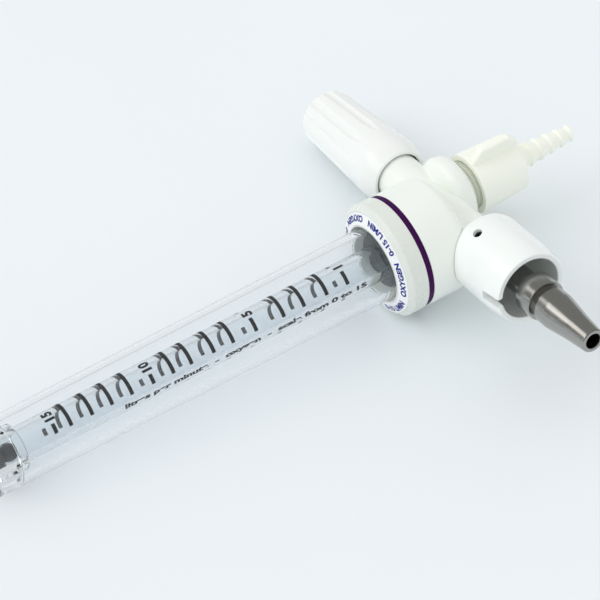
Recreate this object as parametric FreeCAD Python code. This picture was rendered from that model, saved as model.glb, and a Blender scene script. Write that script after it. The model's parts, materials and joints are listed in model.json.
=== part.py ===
# Oxygen flowmeter that lies at rest on its collar, its tube's far end and its knob's end.
# Each piece is first built in an upright working frame, then all are laid down together.
# Working frame: X runs along the gauge tube towards its closed end, Y along the cross barrel from
# the knob to the wall probe, Z is square to both. The two axes cross at the working origin.
# All lengths are in millimetres and all angles in degrees.
import FreeCAD, Part
import math
import os
from FreeCAD import Matrix, Placement, Rotation, Vector

os.makedirs("parts", exist_ok=True)

# Fits
FIT = 0.05              # radial play between pieces that are fixed to each other
RUNNING_FIT = 0.08      # radial play where a piece turns or slides
BODY_GAP = 0.3          # clear space between the shroud and the drum beside it

# Moulded body: drum on the tube axis
DRUM_WALL = 2.9         # round the collar's skirt
DRUM_BACK_X = 5.0
DRUM_FACE_X = 21.3
DRUM_BACK_ROUND = 4.0
DRUM_FLOOR_X = 11.2
DRUM_EDGE_BREAK = 0.3
POCKET_R = 9.5
POCKET_FLOOR_X = 9.0

# Moulded body: cross barrel
BARREL_R = 8.0
BARREL_KNOB_Y = -33.5
BARREL_PROBE_Y = 25.0
BARREL_EDGE_BREAK = 0.4
BARREL_BLEND = 3.0

# Moulded body: outlet boss and spigot
OUTLET_Y = -13.7
BOSS_RIM_R = 13.5
BOSS_ROOT_X = 0.7
BOSS_RIM_X = -5.2
BOSS_RIM_ROUND = 3.0
BOSS_FACE_X = -11.7
BOSS_FACE_R = 12.6
BOSS_FACE_ROUND = 3.6
SPIGOT_R = 7.9          # pitch radius of the outlet thread
SPIGOT_END_X = -27.0
SPIGOT_EDGE_BREAK = 0.5
OUTLET_BORE_R = 3.0

# Gas ways in the body
PROBE_CHAMBER_R = 3.0
PROBE_CHAMBER_END_Y = -2.5
CENTRE_WAY_R = 2.0
RETURN_WAY_R = 1.0
RETURN_WAY_Y = -6.5
RETURN_CHAMBER_R = 2.0
RETURN_CHAMBER_Y = -5.0
SEAT_Y = -10.0
SEAT_R = 1.3
SEAT_THICK = 1.5
VALVE_CHAMBER_R = 4.0

# Colour ring and collar
COLOUR_RING_WIDTH = 2.7
COLOUR_RING_THICK = 2.05
COLLAR_HOLE_PLAY = 0.68  # radial space between the collar and the tube
COLLAR_FRONT_X = 32.0
SKIRT_OVERHANG = 0.4    # how far the skirt reaches past the tube's flange
COLLAR_SHOULDER_X = 29.0
COLLAR_EDGE_ROUND = 1.2
COLLAR_BACK_ROUND = 0.4
FACE_OUTER_X = 30.5
FACE_LAND = 0.34        # flat rim inside the coned face
FACE_WIDTH = 4.5
FACE_MARGIN = 1.7       # from the coned face to the collar's outer side
LABEL_MARGIN = 0.25
LABEL_THICK = 0.3

# Clear outer tube
TUBE_ROOT_R = 12.78
TUBE_TIP_R = 11.85
TUBE_END_X = 184.6
TUBE_END_ROUND = 5.0
TUBE_NUT_PLAY = 0.25     # radial space between the bore's root and the lobed nut
TUBE_BORE_TIP_R = 9.45
TUBE_BORE_END_X = 172.0
TUBE_FLANGE_REACH = 3.82
TUBE_FLANGE_THICK = 2.2
SOCKET_RING_R = 7.9
SOCKET_RING_X = 168.0
END_CHAMBER_R = 4.6
END_CHAMBER_LENGTH = 2.4
GAS_SLOT_COUNT = 4
GAS_SLOT_WIDTH = 2.0
GAS_SLOT_R = 9.0

# Metering tube, its ball and the two stops
FLOW_TUBE_R = 6.1
FLOW_TUBE_FOOT_X = 22.0
FLOW_TUBE_END_X = 179.0
FLOW_BORE_FOOT_R = 3.35
FLOW_BORE_END_R = 4.25
FLOW_TUBE_EDGE_BREAK = 0.4
BALL_R = 3.2
BALL_PLAY = 0.03
UPPER_STOP_X = 175.25
STOP_BORE_R = 1.2
STOP_SLOT_COUNT = 3
STOP_SLOT_WIDTH = 1.4
STOP_SLOT_DEPTH = 1.1
LOWER_STOP_LENGTH = 3.0

# Six-lobed nut that seats the metering tube
LOBE_COUNT = 6
LOBE_R = 10.2
LOBE_CUSP_R = 9.1
LOBE_CUSP_ANGLE = 18.0
SEAT_NUT_FRONT_X = 29.8
SEAT_NUT_BACK_X = 19.8
SEAT_NUT_CHAMFER = 0.5
STEM_R = 4.5
STEM_END_X = 4.5

# Sealing rings
SEAL_SECTION = 1.3
SEAL_ROUND = 0.45
TUBE_SEAL_R = 12.5
TUBE_SEAL_WIDTH = 2.0
FLOW_SEAL_X = 26.5
FLOW_SEAL_WIDTH = 1.9
FLOW_SEAL_DEPTH = 1.1
BONNET_SEAL_Y = -23.0
PROBE_SEAL_R = 5.4
PROBE_SEAL_WIDTH = 1.6
NIPPLE_SEAL_THICK = 1.5
NIPPLE_SEAL_BORE_R = 3.4

# Valve bonnet, spindle, packing and gland nut
BONNET_R = 6.5
BONNET_FRONT_Y = -20.5
BONNET_HEX = 14.0
BONNET_HEX_THICK = 3.5
BONNET_NECK_R = 6.2
BONNET_END_Y = -46.5
PACKING_CHAMBER_R = 5.0
PACKING_CHAMBER_Y = -35.2
SPINDLE_COLLAR_THICK = 2.8
SPINDLE_R = 4.0
SPINDLE_END_Y = -70.0
SPINDLE_FLAT = 3.2
SPINDLE_THREAD_R = 1.6
SPINDLE_THREAD_END_Y = -26.5
GLAND_HEX = 14.5
GLAND_START_Y = -39.0
GLAND_WALL = 2.4

# Valve needle
CARRIER_HEX = 5.6
CARRIER_FRONT_Y = -21.0
CARRIER_BACK_Y = -31.0
NEEDLE_R = 1.9
NEEDLE_TIP_R = 0.25
NEEDLE_TIP_Y = -7.6
NEEDLE_SHOULDER_Y = -11.5
NEEDLE_BORE_FRONT_Y = -22.5
VALVE_TRAVEL = 3.0

# Control knob
KNOB_MOUTH_Y = -31.6
KNOB_MOUTH_R = 9.75
KNOB_SWELL_Y = -37.0
KNOB_SWELL_R = 11.85
KNOB_SWELL_ROUND = 16.0
KNOB_END_Y = -77.0
KNOB_END_R = 9.65
KNOB_END_ROUND = 2.2
KNOB_LIP_ROUND = 0.5
KNOB_CAVITY_R = 8.6
KNOB_CAVITY_END_Y = -50.0
FLUTE_COUNT = 10
FLUTE_FIRST_ANGLE = 26.0
FLUTE_TOOL_R = 2.3
FLUTE_DEPTH = 0.85
FLUTE_FADE_Y = -43.5
FLUTE_FULL_Y = -51.0
KNOB_SCREW_R = 1.5
KNOB_SCREW_LENGTH = 10.0
KNOB_SCREW_HEAD_R = 2.8
KNOB_SCREW_HEAD_THICK = 2.0
KNOB_SCREW_SEAT_Y = -72.0
KNOB_RECESS_R = 5.0
KNOB_CAP_THICK = 1.6
KNOB_CAP_SET_IN = 0.2
SCREW_SLOT_WIDTH = 0.7
SCREW_SLOT_DEPTH = 0.9

# Wall probe and its filter
SHANK_R = 4.6
SHANK_END_Y = 12.0
SHOULDER_R = 7.5
SHOULDER_THICK = 3.0
PROBE_FLANGE_R = 7.06
PROBE_FLANGE_Y = 45.0
PROBE_FLANGE_THICK = 5.5
LOCK_GROOVE_R = 5.2
LOCK_GROOVE_WIDTH = 1.7
NOSE_R = 6.4
NOSE_LENGTH = 6.8
NOSE_TAPER_Y = 69.0
NOSE_TAPER_R = 5.0
TIP_Y = 78.0
TIP_R = 4.15
TIP_ROUND = 0.5
PROBE_EDGE_BREAK = 0.25
TIP_BORE_R = 2.7
TIP_BORE_Y = 62.0
PROBE_BORE_R = 3.5
FILTER_R = 3.8
FILTER_LENGTH = 5.5

# Shroud and its set screw
SHROUD_R = 13.5
SHROUD_BACK_Y = 14.2
SHROUD_BACK_ROUND = 5.2
SHROUD_TAPER_Y = 36.0
SHROUD_MOUTH_Y = 43.6
SHROUD_MOUTH_R = 12.7
SHROUD_BORE_R = 10.8
SHROUD_FLOOR_Y = 26.0
SHROUD_LIP_ROUND = 0.4
KEY_SLOT_WIDTH = 3.4
KEY_SLOT_DEPTH = 7.7
SET_SCREW_R = 1.5
SET_SCREW_Y = 22.6
SET_SCREW_ANGLE = 68.7
SET_SCREW_SUNK = 1.5      # from the shroud's outside to the screw's head
SET_SCREW_TIP_R = 7.4
SET_SCREW_HEX = 1.5
SET_SCREW_SOCKET = 1.6

# Wing nut
NUT_MOUTH_X = -15.0
NUT_END_X = -33.3
NUT_MOUTH_R = 10.7
NUT_END_R = 10.0
NUT_END_ROUND = 0.8
NUT_CHAMFER = 0.7
NUT_WALL = 2.75
WING_ANGLE = 73.0
WING_THICK = 2.8
WING_R = 16.8
WING_FRONT_X = -18.2
WING_BACK_X = -29.5
WING_BACK_R = 12.5
WING_ROUND = 1.5
WING_EDGE_ROUND = 0.8

# Hose nipple
NIPPLE_FLANGE_R = 7.6
NIPPLE_FLANGE_THICK = 2.0
NIPPLE_NECK_R = 4.25
NIPPLE_BORE_R = 2.2
BARB_COUNT = 5
BARB_FIRST_X = -38.8
BARB_PITCH = 4.25
BARB_FIRST_R = 4.3
BARB_LAST_R = 3.0
BARB_DEPTH = 0.7
BARB_BACK = 0.5
NIPPLE_TIP_X = -56.5
NIPPLE_TIP_R = 2.75

FULL_TURN = 360.0
OVERCUT = 1.0           # how far a cutting tool runs past the face it cuts
POINTS_TOUCH = 1e-6     # points closer than this are the same point
SURFACES_TOUCH = 1e-3   # a point this close to a surface lies on it

# Lengths that follow from the ones above
tube_bore_root_r = LOBE_R + TUBE_NUT_PLAY
tube_flange_r = TUBE_ROOT_R + TUBE_FLANGE_REACH
collar_skirt_r = tube_flange_r + SKIRT_OVERHANG
drum_r = collar_skirt_r + DRUM_WALL
colour_ring_r = collar_skirt_r + COLOUR_RING_WIDTH
collar_hole_r = TUBE_ROOT_R + COLLAR_HOLE_PLAY
face_inner_r = collar_hole_r + FACE_LAND
face_outer_r = face_inner_r + FACE_WIDTH
collar_r = face_outer_r + FACE_MARGIN
collar_back_x = DRUM_FACE_X + COLOUR_RING_THICK
flange_front_x = DRUM_FLOOR_X + TUBE_FLANGE_THICK
end_chamber_x = FLOW_TUBE_END_X + END_CHAMBER_LENGTH
socket_r = FLOW_TUBE_R + FIT
nut_bore_r = SPIGOT_R + RUNNING_FIT
nipple_face_x = SPIGOT_END_X - NIPPLE_SEAL_THICK
nut_wall_x = NUT_END_X + NUT_WALL
spindle_collar_y = PACKING_CHAMBER_Y - SPINDLE_COLLAR_THICK
probe_groove_y = PROBE_FLANGE_Y + PROBE_FLANGE_THICK
nose_y = probe_groove_y + LOCK_GROOVE_WIDTH
nose_end_y = nose_y + NOSE_LENGTH
shoulder_end_y = BARREL_PROBE_Y + SHOULDER_THICK
ball_x = UPPER_STOP_X - BALL_R - BALL_PLAY
set_screw_top_r = SHROUD_R - SET_SCREW_SUNK

# Rims that the flowmeter lies on, as corners of their outlines
COLLAR_RIM = (COLLAR_SHOULDER_X, collar_r, COLLAR_EDGE_ROUND)
TUBE_RIM = (TUBE_END_X, TUBE_TIP_R, TUBE_END_ROUND)
KNOB_RIM = (KNOB_END_Y, KNOB_END_R, KNOB_END_ROUND)

# Outlines as corners of (place along the axis, radius, rounding)
collar_outline = [
    (flange_front_x, collar_hole_r),
    (COLLAR_FRONT_X, collar_hole_r),
    (COLLAR_FRONT_X, face_inner_r),
    (FACE_OUTER_X, face_outer_r),
    COLLAR_RIM,
    (collar_back_x, collar_r, COLLAR_BACK_ROUND),
    (collar_back_x, collar_skirt_r),
    (flange_front_x, collar_skirt_r),
]
tube_outline = [
    (DRUM_FLOOR_X, tube_bore_root_r),
    (TUBE_BORE_END_X, TUBE_BORE_TIP_R, SEAL_ROUND),
    (TUBE_BORE_END_X, SOCKET_RING_R),
    (SOCKET_RING_X, SOCKET_RING_R),
    (SOCKET_RING_X, socket_r),
    (FLOW_TUBE_END_X, socket_r),
    (FLOW_TUBE_END_X, END_CHAMBER_R),
    (end_chamber_x, END_CHAMBER_R),
    (end_chamber_x, 0.0),
    (TUBE_END_X, 0.0),
    TUBE_RIM,
    (flange_front_x, TUBE_ROOT_R),
    (flange_front_x, tube_flange_r),
    (DRUM_FLOOR_X, tube_flange_r),
]
knob_outline = [
    (KNOB_MOUTH_Y, KNOB_CAVITY_R, KNOB_LIP_ROUND),
    (KNOB_MOUTH_Y, KNOB_MOUTH_R, KNOB_LIP_ROUND),
    (KNOB_SWELL_Y, KNOB_SWELL_R, KNOB_SWELL_ROUND),
    KNOB_RIM,
    (KNOB_END_Y, KNOB_RECESS_R),
    (KNOB_SCREW_SEAT_Y, KNOB_RECESS_R),
    (KNOB_SCREW_SEAT_Y, KNOB_SCREW_R + 2.0 * FIT),
    (KNOB_CAVITY_END_Y, KNOB_SCREW_R + 2.0 * FIT),
    (KNOB_CAVITY_END_Y, KNOB_CAVITY_R),
]


def rounded_corner(before, corner, after, radius):
    """Start, middle, end and centre of the arc that rounds one corner of an outline."""
    to_before = (before - corner).normalize()
    to_after = (after - corner).normalize()
    half_angle = to_before.getAngle(to_after) / 2.0
    setback = radius / math.tan(half_angle)
    middle_line = (to_before + to_after).normalize()
    centre = corner + middle_line * (radius / math.sin(half_angle))
    middle = centre - middle_line * radius
    return corner + to_before * setback, middle, corner + to_after * setback, centre


def outline_face(corners):
    """Flat face in the local XZ plane from (along, radius) corners, some with a rounding radius."""
    points = [Vector(corner[1], 0.0, corner[0]) for corner in corners]
    rounds = [corner[2] if len(corner) > 2 else 0.0 for corner in corners]
    edges = []
    stretch_ends = []
    for index, point in enumerate(points):
        if rounds[index] > 0.0:
            after = points[(index + 1) % len(points)]
            start, middle, end, centre = rounded_corner(points[index - 1], point, after, rounds[index])
            edges.append(Part.Arc(start, middle, end).toShape())
            stretch_ends.append((start, end))
        else:
            stretch_ends.append((point, point))
    for index, (start, end) in enumerate(stretch_ends):
        next_start = stretch_ends[(index + 1) % len(stretch_ends)][0]
        if end.distanceToPoint(next_start) > POINTS_TOUCH:
            edges.append(Part.LineSegment(end, next_start).toShape())
    return Part.Face(Part.Wire(Part.__sortEdges__(edges)))


def turned(corners):
    """Solid of revolution about the local Z axis."""
    return outline_face(corners).revolve(Vector(0, 0, 0), Vector(0, 0, 1), FULL_TURN)


def rod(start, end, radius):
    """Plain cylinder on the local Z axis between two places along it."""
    low = min(start, end)
    return Part.makeCylinder(radius, abs(end - start), Vector(0, 0, low))


def hex_rod(start, end, across_flats):
    """Hexagonal bar on the local Z axis between two places along it."""
    corner_r = across_flats / math.sqrt(3.0)
    low = min(start, end)
    corners = []
    for index in range(7):
        angle = math.radians(60.0 * index)
        corners.append(Vector(corner_r * math.cos(angle), corner_r * math.sin(angle), low))
    return Part.Face(Part.makePolygon(corners)).extrude(Vector(0, 0, abs(end - start)))


def sealing_ring(start, width, inner_r, depth):
    """Ring of rounded rectangular section, as a rubber ring lies squeezed in its groove."""
    return turned([
        (start, inner_r, SEAL_ROUND),
        (start + width, inner_r, SEAL_ROUND),
        (start + width, inner_r + depth, SEAL_ROUND),
        (start, inner_r + depth, SEAL_ROUND),
    ])


def radial_slots(start, end, inner_r, outer_r, width, count):
    """Evenly spaced bars that reach out from inner_r to outer_r, for cutting slots."""
    bar = Part.makeBox(outer_r - inner_r, width, end - start, Vector(inner_r, -width / 2.0, start))
    bars = []
    for index in range(count):
        turned_bar = bar.copy()
        turned_bar.rotate(Vector(0, 0, 0), Vector(0, 0, 1), FULL_TURN * index / count)
        bars.append(turned_bar)
    return bars


def placed(shape, placement):
    """Copy of a shape moved by a placement."""
    copy = shape.copy()
    copy.Placement = placement.multiply(copy.Placement)
    return copy


def on_tube_axis(shape, offset_y=0.0):
    """Puts a local Z axis shape on the tube axis, or parallel to it; local X becomes Y."""
    turn = Rotation(Vector(0, 1, 0), Vector(0, 0, 1), Vector(1, 0, 0), "ZXY")
    return placed(shape, Placement(Vector(0, offset_y, 0), turn))


def on_cross_axis(shape):
    """Puts a local Z axis shape on the cross axis; local X stays and local Y points down."""
    turn = Rotation(Vector(1, 0, 0), Vector(0, 0, -1), Vector(0, 1, 0), "ZXY")
    return placed(shape, Placement(Vector(0, 0, 0), turn))


def on_outlet_axis(shape):
    """Puts a local Z axis shape on the outlet axis."""
    return on_tube_axis(shape, OUTLET_Y)


def on_set_screw_axis(shape):
    """Puts a local Z axis shape on the radial line of the shroud's set screw."""
    angle = math.radians(SET_SCREW_ANGLE)
    outwards = Vector(math.cos(angle), 0, math.sin(angle))
    return placed(shape, Placement(Vector(0, SET_SCREW_Y, 0), Rotation(Vector(0, 0, 1), outwards)))


def flow_bore_r(x):
    """Radius of the metering tube's tapered bore at a place along it."""
    share = (x - FLOW_TUBE_FOOT_X) / (FLOW_TUBE_END_X - FLOW_TUBE_FOOT_X)
    return FLOW_BORE_FOOT_R + share * (FLOW_BORE_END_R - FLOW_BORE_FOOT_R)


def rim(outline, corner):
    """Place along the axis, radius and rounding of the rim that a rounded corner sweeps."""
    index = outline.index(corner)
    before, middle, after = [
        Vector(outline[place % len(outline)][1], 0.0, outline[place % len(outline)][0])
        for place in (index - 1, index, index + 1)
    ]
    centre = rounded_corner(before, middle, after, corner[2])[3]
    return centre.z, centre.x, corner[2]


def resting_attitude():
    """Upward direction and height of the working origin when the flowmeter lies at rest.

    It lies on three rounded rims: the collar's front edge, the tube's closed end and the knob's end.
    Each rim is a circle, swept by its own rounding radius, that the floor plane touches.
    """
    front_x, front_r, front_round = rim(collar_outline, COLLAR_RIM)
    tube_x, tube_r, tube_round = rim(tube_outline, TUBE_RIM)
    knob_y, knob_r, knob_round = rim(knob_outline, KNOB_RIM)
    reach = tube_x - front_x
    drop = tube_r - front_r
    lean = math.atan2(drop, reach)
    lean += math.asin((tube_round - front_round) / math.hypot(reach, drop))
    height = front_round + front_r * math.cos(lean) - front_x * math.sin(lean)
    roll = math.asin((height - knob_round) / math.hypot(knob_y, knob_r))
    roll -= math.atan2(knob_r, -knob_y)
    up_x = math.sin(lean)
    up_y = math.sin(roll)
    return Vector(up_x, up_y, math.sqrt(1.0 - up_x ** 2 - up_y ** 2)), height


def meeting_edges(joined, first, second):
    """Edges of a joined solid along which its two parts met."""
    found = []
    for edge in joined.Edges:
        middle = Part.Vertex(edge.valueAt((edge.FirstParameter + edge.LastParameter) / 2.0))
        gaps = [middle.distToShape(part.Shells[0])[0] for part in (first, second)]
        if max(gaps) < SURFACES_TOUCH:
            found.append(edge)
    return found


def drum_with_barrel(drum_extra, barrel_extra):
    """Drum and cross barrel in one, blended where they meet; the extras enlarge them."""
    drum = on_tube_axis(turned([
        (DRUM_BACK_X - drum_extra, 0.0),
        (DRUM_BACK_X - drum_extra, drum_r + drum_extra, DRUM_BACK_ROUND),
        (DRUM_FACE_X, drum_r + drum_extra, DRUM_EDGE_BREAK),
        (DRUM_FACE_X, 0.0),
    ]))
    barrel = on_cross_axis(turned([
        (BARREL_KNOB_Y, 0.0),
        (BARREL_KNOB_Y, BARREL_R + barrel_extra, BARREL_EDGE_BREAK),
        (BARREL_PROBE_Y, BARREL_R + barrel_extra, BARREL_EDGE_BREAK),
        (BARREL_PROBE_Y, 0.0),
    ]))
    joined = drum.fuse(barrel).removeSplitter()
    return joined.makeFillet(BARREL_BLEND - drum_extra, meeting_edges(joined, drum, barrel))


def make_body():
    """Moulded body: drum, cross barrel, outlet boss and spigot, with its bores."""
    boss = on_outlet_axis(turned([
        (BOSS_ROOT_X, 0.0),
        (BOSS_RIM_X, BOSS_RIM_R, BOSS_RIM_ROUND),
        (BOSS_FACE_X, BOSS_FACE_R, BOSS_FACE_ROUND),
        (BOSS_FACE_X, SPIGOT_R),
        (SPIGOT_END_X, SPIGOT_R, SPIGOT_EDGE_BREAK),
        (SPIGOT_END_X, 0.0),
    ]))
    outside = drum_with_barrel(0.0, 0.0).fuse(boss)
    tube_side_cuts = [
        rod(DRUM_FLOOR_X, DRUM_FACE_X + OVERCUT, collar_skirt_r + FIT),
        rod(POCKET_FLOOR_X, DRUM_FACE_X, POCKET_R),
        rod(STEM_END_X, DRUM_FACE_X, STEM_R + FIT),
        rod(0.0, DRUM_FACE_X, CENTRE_WAY_R),
        turned([
            (DRUM_FLOOR_X - SEAL_SECTION, TUBE_SEAL_R - FIT),
            (DRUM_FLOOR_X + OVERCUT, TUBE_SEAL_R - FIT),
            (DRUM_FLOOR_X + OVERCUT, TUBE_SEAL_R + TUBE_SEAL_WIDTH + FIT),
            (DRUM_FLOOR_X - SEAL_SECTION, TUBE_SEAL_R + TUBE_SEAL_WIDTH + FIT),
        ]),
    ]
    cross_cuts = [
        rod(SHANK_END_Y - FIT, BARREL_PROBE_Y + OVERCUT, SHANK_R + FIT),
        rod(PROBE_CHAMBER_END_Y, SHANK_END_Y, PROBE_CHAMBER_R),
        rod(SEAT_Y + SEAT_THICK, RETURN_CHAMBER_Y, RETURN_CHAMBER_R),
        rod(SEAT_Y, RETURN_CHAMBER_Y, SEAT_R),
        rod(BONNET_FRONT_Y, SEAT_Y, VALVE_CHAMBER_R),
        rod(BARREL_KNOB_Y - OVERCUT, BONNET_FRONT_Y, BONNET_R + FIT),
        turned([
            (BARREL_PROBE_Y - SEAL_SECTION, PROBE_SEAL_R - FIT),
            (BARREL_PROBE_Y + OVERCUT, PROBE_SEAL_R - FIT),
            (BARREL_PROBE_Y + OVERCUT, PROBE_SEAL_R + PROBE_SEAL_WIDTH + FIT),
            (BARREL_PROBE_Y - SEAL_SECTION, PROBE_SEAL_R + PROBE_SEAL_WIDTH + FIT),
        ]),
    ]
    cuts = [on_tube_axis(cut) for cut in tube_side_cuts]
    cuts += [on_cross_axis(cut) for cut in cross_cuts]
    cuts.append(on_tube_axis(rod(0.0, POCKET_FLOOR_X + OVERCUT, RETURN_WAY_R), RETURN_WAY_Y))
    cuts.append(on_outlet_axis(rod(SPIGOT_END_X - OVERCUT, 0.0, OUTLET_BORE_R)))
    cuts.append(on_set_screw_axis(rod(SET_SCREW_TIP_R - FIT, BARREL_R + OVERCUT, SET_SCREW_R + FIT)))
    for cut in cuts:
        outside = outside.cut(cut)
    return outside


def make_collar():
    """Ring nut: a skirt inside the drum, a head outside it and a coned front with a label recess."""
    return on_tube_axis(turned(collar_outline).cut(label_washer()))


def label_washer():
    """Coned washer that lies flush in the collar's front face."""
    slope = (FACE_OUTER_X - COLLAR_FRONT_X) / (face_outer_r - face_inner_r)
    inner_r = face_inner_r + LABEL_MARGIN
    outer_r = face_outer_r - LABEL_MARGIN
    inner_x = COLLAR_FRONT_X + slope * LABEL_MARGIN
    outer_x = FACE_OUTER_X - slope * LABEL_MARGIN
    return turned([
        (inner_x, inner_r),
        (outer_x, outer_r),
        (outer_x - LABEL_THICK, outer_r),
        (inner_x - LABEL_THICK, inner_r),
    ])


def make_colour_ring():
    """Flat ring that shows which gas the meter is for."""
    return on_tube_axis(turned([
        (DRUM_FACE_X, collar_skirt_r + FIT),
        (DRUM_FACE_X, colour_ring_r, COLLAR_BACK_ROUND),
        (collar_back_x, colour_ring_r, COLLAR_BACK_ROUND),
        (collar_back_x, collar_skirt_r + FIT),
    ]))


def make_outer_tube():
    """Clear tube: a flange at its foot, a closed end and a slotted socket for the metering tube."""
    slots = radial_slots(SOCKET_RING_X - OVERCUT, end_chamber_x, 0.0, GAS_SLOT_R, GAS_SLOT_WIDTH,
                         GAS_SLOT_COUNT)
    return on_tube_axis(turned(tube_outline).cut(slots))


def make_flow_tube():
    """Thick-walled metering tube whose bore widens slowly away from its foot."""
    return on_tube_axis(turned([
        (FLOW_TUBE_FOOT_X, FLOW_BORE_FOOT_R),
        (FLOW_TUBE_FOOT_X, FLOW_TUBE_R, FLOW_TUBE_EDGE_BREAK),
        (FLOW_TUBE_END_X, FLOW_TUBE_R, FLOW_TUBE_EDGE_BREAK),
        (FLOW_TUBE_END_X, FLOW_BORE_END_R),
    ]))


def make_ball(up):
    """Ball at the far end of its travel, on the lowest line of the bore."""
    down = Vector(0, -up.y, -up.z).normalize()
    sink = flow_bore_r(ball_x) - BALL_R - BALL_PLAY
    return Part.makeSphere(BALL_R, Vector(ball_x, 0, 0) + down * sink)


def make_stop(start, end, radius):
    """Short slotted plug with a hole, which stops the ball and lets the gas by."""
    plug = rod(start, end, radius).cut(rod(start, end, STOP_BORE_R))
    slots = radial_slots(start, end, radius - STOP_SLOT_DEPTH, radius + OVERCUT, STOP_SLOT_WIDTH,
                         STOP_SLOT_COUNT)
    return on_tube_axis(plug.cut(slots))


def lobed_face(start):
    """Six equal arcs that meet in cusps."""
    edges = []
    step = FULL_TURN / LOBE_COUNT
    for index in range(LOBE_COUNT):
        points = []
        for share, radius in ((0.0, LOBE_CUSP_R), (0.5, LOBE_R), (1.0, LOBE_CUSP_R)):
            angle = math.radians(LOBE_CUSP_ANGLE + step * (index + share))
            points.append(Vector(radius * math.cos(angle), radius * math.sin(angle), start))
        edges.append(Part.Arc(*points).toShape())
    return Part.Face(Part.Wire(edges))


def make_seat_nut():
    """Lobed nut: its stem screws into the drum and its cup holds the metering tube's foot."""
    head = lobed_face(SEAT_NUT_BACK_X).extrude(Vector(0, 0, SEAT_NUT_FRONT_X - SEAT_NUT_BACK_X))
    front_bevel = turned([
        (SEAT_NUT_BACK_X - OVERCUT, 0.0),
        (SEAT_NUT_BACK_X - OVERCUT, LOBE_R + OVERCUT),
        (SEAT_NUT_FRONT_X - SEAT_NUT_CHAMFER - OVERCUT, LOBE_R + OVERCUT),
        (SEAT_NUT_FRONT_X, LOBE_R - SEAT_NUT_CHAMFER),
        (SEAT_NUT_FRONT_X, 0.0),
    ])
    nut = head.common(front_bevel).fuse(rod(STEM_END_X, SEAT_NUT_BACK_X, STEM_R)).removeSplitter()
    nut = nut.cut([
        rod(STEM_END_X, FLOW_TUBE_FOOT_X, CENTRE_WAY_R),
        rod(FLOW_TUBE_FOOT_X, SEAT_NUT_FRONT_X, socket_r),
        rod(FLOW_SEAL_X - FIT, FLOW_SEAL_X + FLOW_SEAL_WIDTH + FIT,
            FLOW_TUBE_R + FLOW_SEAL_DEPTH + FIT),
    ])
    return on_tube_axis(nut)


def make_bonnet():
    """Brass insert: threaded into the barrel, hexagon outside, guides the needle's carrier."""
    outside = rod(BARREL_KNOB_Y, BONNET_FRONT_Y, BONNET_R)
    outside = outside.fuse([
        hex_rod(BARREL_KNOB_Y - BONNET_HEX_THICK, BARREL_KNOB_Y, BONNET_HEX),
        rod(BONNET_END_Y, BARREL_KNOB_Y, BONNET_NECK_R),
    ]).removeSplitter()
    guide_end_y = CARRIER_BACK_Y - VALVE_TRAVEL - OVERCUT / 2.0
    groove = rod(BONNET_SEAL_Y - SEAL_SECTION - FIT, BONNET_SEAL_Y + FIT, BONNET_R + OVERCUT)
    groove = groove.cut(rod(BONNET_SEAL_Y - SEAL_SECTION - FIT, BONNET_SEAL_Y + FIT,
                            BONNET_R - SEAL_SECTION))
    bonnet = outside.cut([
        hex_rod(guide_end_y, BONNET_FRONT_Y, CARRIER_HEX + 2.0 * RUNNING_FIT),
        rod(PACKING_CHAMBER_Y, guide_end_y, SPINDLE_THREAD_R + RUNNING_FIT),
        rod(BONNET_END_Y, PACKING_CHAMBER_Y, PACKING_CHAMBER_R),
        groove,
    ])
    return on_cross_axis(bonnet)


def make_needle():
    """Needle with a fine cone at its tip and a hexagonal carrier that can't turn."""
    needle = turned([
        (NEEDLE_TIP_Y, 0.0),
        (NEEDLE_TIP_Y, NEEDLE_TIP_R),
        (NEEDLE_SHOULDER_Y, NEEDLE_R),
        (CARRIER_FRONT_Y, NEEDLE_R),
        (CARRIER_FRONT_Y, 0.0),
    ])
    carrier = hex_rod(CARRIER_BACK_Y, CARRIER_FRONT_Y, CARRIER_HEX)
    needle = needle.fuse(carrier).removeSplitter()
    bore = rod(CARRIER_BACK_Y, NEEDLE_BORE_FRONT_Y, SPINDLE_THREAD_R + RUNNING_FIT)
    return on_cross_axis(needle.cut(bore))


def make_spindle():
    """Spindle: thread in the needle, collar in the bonnet, flatted shaft in the knob."""
    spindle = turned([
        (SPINDLE_THREAD_END_Y, 0.0),
        (SPINDLE_THREAD_END_Y, SPINDLE_THREAD_R),
        (PACKING_CHAMBER_Y, SPINDLE_THREAD_R),
        (PACKING_CHAMBER_Y, PACKING_CHAMBER_R - RUNNING_FIT),
        (spindle_collar_y, PACKING_CHAMBER_R - RUNNING_FIT),
        (spindle_collar_y, SPINDLE_R),
        (SPINDLE_END_Y, SPINDLE_R),
        (SPINDLE_END_Y, 0.0),
    ])
    flat = Part.makeBox(SPINDLE_R, 2.0 * SPINDLE_R, KNOB_CAVITY_END_Y - SPINDLE_END_Y,
                        Vector(SPINDLE_FLAT, -SPINDLE_R, SPINDLE_END_Y))
    screw_hole = rod(SPINDLE_END_Y, KNOB_SCREW_SEAT_Y + KNOB_SCREW_LENGTH + OVERCUT,
                     KNOB_SCREW_R + FIT)
    return on_cross_axis(spindle.cut([flat, screw_hole]))


def make_gland_nut():
    """Hexagon cap nut that holds the packing down in the bonnet's neck."""
    end_y = BONNET_END_Y - GLAND_WALL
    nut = hex_rod(end_y, GLAND_START_Y, GLAND_HEX)
    return on_cross_axis(nut.cut([
        rod(BONNET_END_Y, GLAND_START_Y, BONNET_NECK_R + FIT),
        rod(end_y, BONNET_END_Y, SPINDLE_R + RUNNING_FIT),
    ]))


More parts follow.
